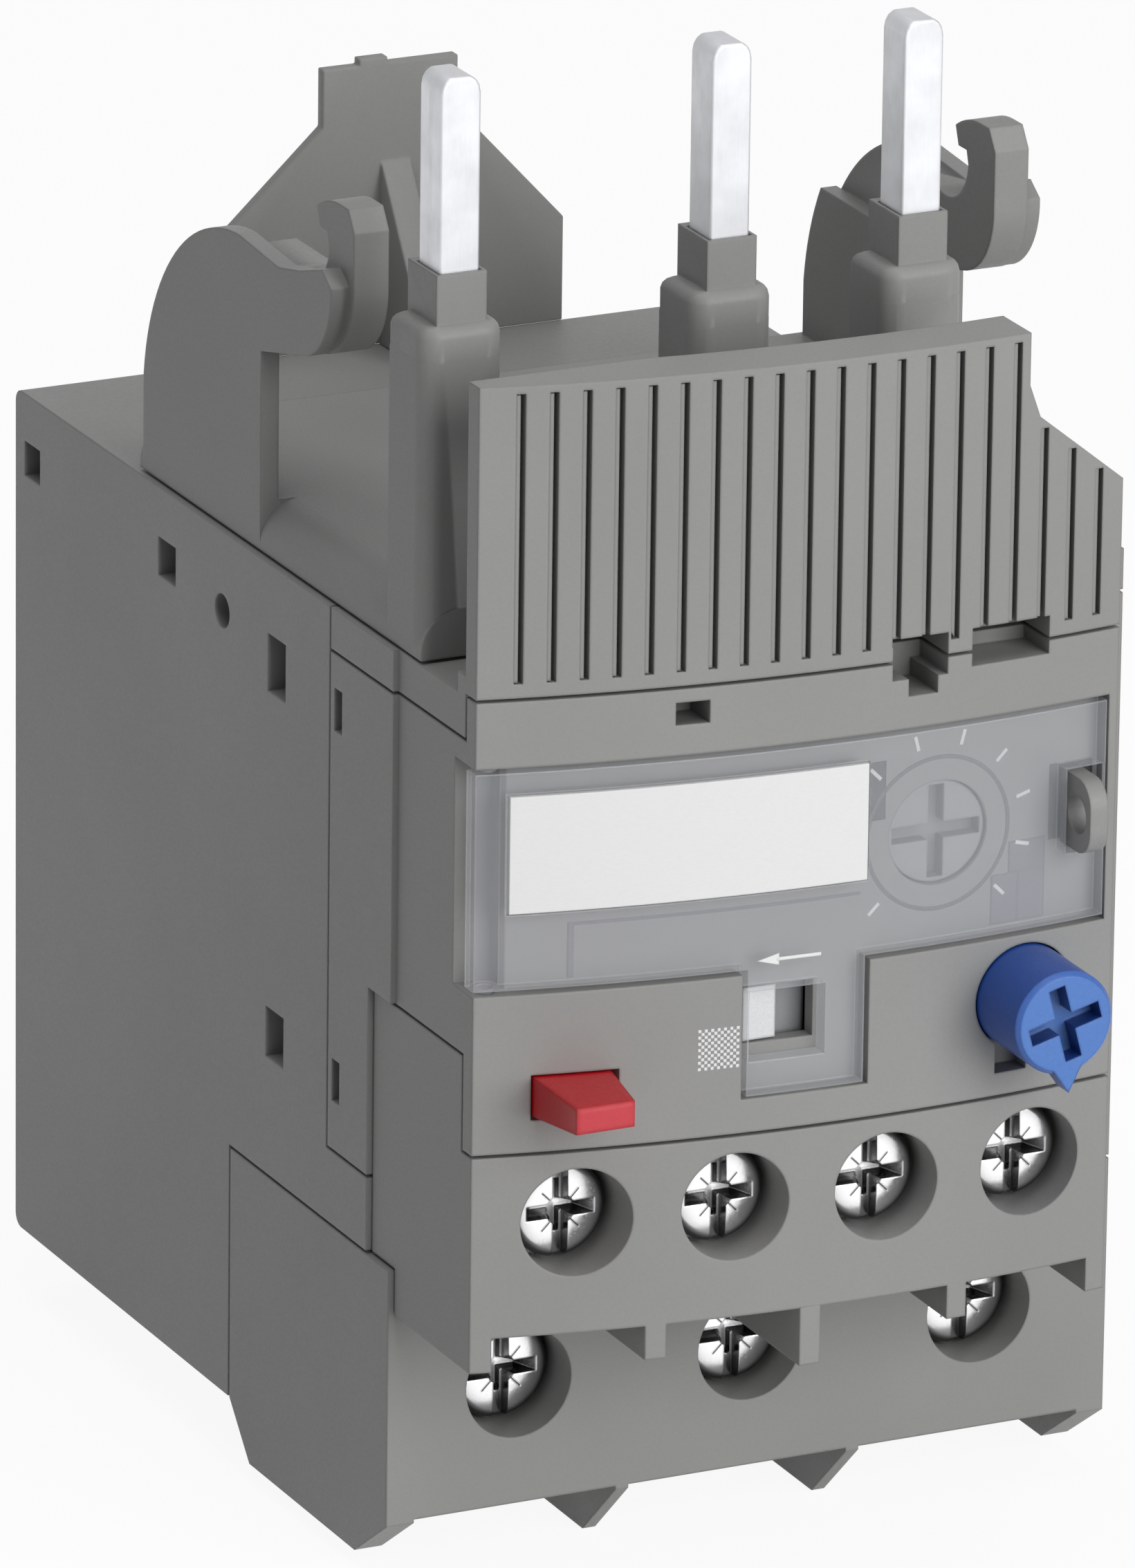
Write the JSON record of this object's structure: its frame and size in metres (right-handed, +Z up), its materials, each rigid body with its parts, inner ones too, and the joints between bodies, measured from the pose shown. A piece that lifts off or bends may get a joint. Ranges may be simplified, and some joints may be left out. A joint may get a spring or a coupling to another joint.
{
  "type": "thermal overload relay",
  "caption": "Plug-in thermal overload relay with blades and hooks on top, setting dial under a hinged clear cover, stop and reset buttons, and screw terminals below.",
  "frame": {"origin": "on the rear mounting plane, midway across the width, at the height of the contactor's underside (the tops of the blade collars)", "axes": "+X to the right seen from the front, +Y to the rear, +Z up along the blades"},
  "size_m": [0.045, 0.0696, 0.0885],
  "materials": {
    "housing_grey": "fine matt moulded thermoplastic",
    "block_grey": "fine matt moulded thermoplastic",
    "carrier_grey": "fine matt moulded thermoplastic",
    "inner_plastic": "plain moulded",
    "tinned_copper": "dull bright tin plating",
    "bimetal": "rolled strip",
    "heater_wire": "drawn resistance wire",
    "plated_screw": "bright plated",
    "plated_steel": "zinc plated",
    "contact_brass": "plain stamped",
    "contact_silver": "silver faced",
    "spring_steel": "drawn wire",
    "clear_window": "clear polycarbonate",
    "label_white": "plain write-on",
    "dial_grey": "plain moulded",
    "slider_white": "plain moulded",
    "stop_red": "satin moulded",
    "reset_blue": "satin moulded"
  },
  "bodies": {
    "housing": {"rear_housing": "housing_grey", "main_terminal_block": "block_grey", "aux_terminal_block": "block_grey", "front_housing": "housing_grey", "grille_panel": "housing_grey", "top_carrier": "carrier_grey", "rear_plate": "carrier_grey", "mechanism_plate": "inner_plastic", "contact_blade_left": "tinned_copper", "contact_blade_middle": "tinned_copper", "contact_blade_right": "tinned_copper", "bimetal_strip_left": "bimetal", "bimetal_strip_middle": "bimetal", "bimetal_strip_right": "bimetal", "heater_winding_left": "heater_wire", "heater_winding_middle": "heater_wire", "heater_winding_right": "heater_wire", "seal_lug": "housing_grey", "aux_terminal_screws": "plated_screw", "main_terminal_screws": "plated_screw", "main_clamp_cages": "plated_steel", "terminal_bars": "tinned_copper", "aux_terminal_rails": "contact_brass", "aux_clamp_plates": "plated_steel", "fixed_contact_tips": "contact_silver", "reset_spring": "spring_steel", "stop_spring": "spring_steel"},
    "cover": {"setting_cover": "clear_window", "marker_label": "label_white"},
    "dial": {"setting_dial": "dial_grey", "dial_cam": "inner_plastic"},
    "test_slider": {"test_slider": "slider_white"},
    "stop_button": {"stop_button": "stop_red"},
    "reset_plunger": {"reset_plunger": "inner_plastic"},
    "reset_knob": {"reset_knob": "reset_blue"},
    "trip_bar": {"trip_bar": "inner_plastic"},
    "differential_bar": {"differential_bar": "inner_plastic"},
    "trip_lever": {"trip_lever": "inner_plastic", "ambient_strip": "bimetal"},
    "contact_carrier": {"contact_carrier": "inner_plastic", "closed_contact_bridge": "contact_silver", "open_contact_bridge": "contact_silver"}
  },
  "joints": [
    {"name": "cover_hinge", "type": "hinge", "parent": "housing", "child": "cover", "pos_m": [-0.0212, -0.06105, -0.0325], "axis": [0, 0, -1], "range_deg": [0, 100]},
    {"name": "dial_turn", "type": "hinge", "parent": "housing", "child": "dial", "pos_m": [0.00515, -0.06, -0.03255], "axis": [0, 1, 0], "range_deg": [-135, 135]},
    {"name": "test_slide", "type": "slide", "parent": "housing", "child": "test_slider", "axis": [1, 0, 0], "range_m": [0, 0.002]},
    {"name": "stop_press", "type": "slide", "parent": "housing", "child": "stop_button", "axis": [0, 1, 0], "range_m": [0, 0.0025], "stiffness_N_per_m": 300, "springref_m": -0.001, "deforming": ["stop_spring"]},
    {"name": "reset_press", "type": "slide", "parent": "housing", "child": "reset_plunger", "axis": [0, 1, 0], "range_m": [0, 0.002], "stiffness_N_per_m": 300, "springref_m": -0.001, "deforming": ["reset_spring"]},
    {"name": "reset_turn", "type": "hinge", "parent": "reset_plunger", "child": "reset_knob", "pos_m": [0.0102, -0.065, -0.0425], "axis": [0, 1, 0], "range_deg": [0, 45]},
    {"name": "trip_slide", "type": "slide", "parent": "housing", "child": "trip_bar", "axis": [1, 0, 0], "range_m": [0, 0.0015], "stiffness_N_per_m": 400, "springref_m": -0.0005},
    {"name": "differential_slide", "type": "slide", "parent": "housing", "child": "differential_bar", "axis": [1, 0, 0], "range_m": [0, 0.0015]},
    {"name": "trip_lever_turn", "type": "hinge", "parent": "housing", "child": "trip_lever", "pos_m": [0.0188, -0.035, -0.0365], "axis": [0, -1, 0], "range_deg": [0, 6.3]},
    {"name": "contact_travel", "type": "slide", "parent": "housing", "child": "contact_carrier", "axis": [0, 0, -1], "range_m": [0, 0.00096]}
  ],
  "couplings": [
    {"joint": "differential_slide", "follows": "trip_slide", "ratio": 1},
    {"joint": "trip_lever_turn", "follows": "trip_slide", "rad_per_m": 72.464},
    {"joint": "contact_travel", "follows": "trip_slide", "ratio": 0.6333}
  ]
}
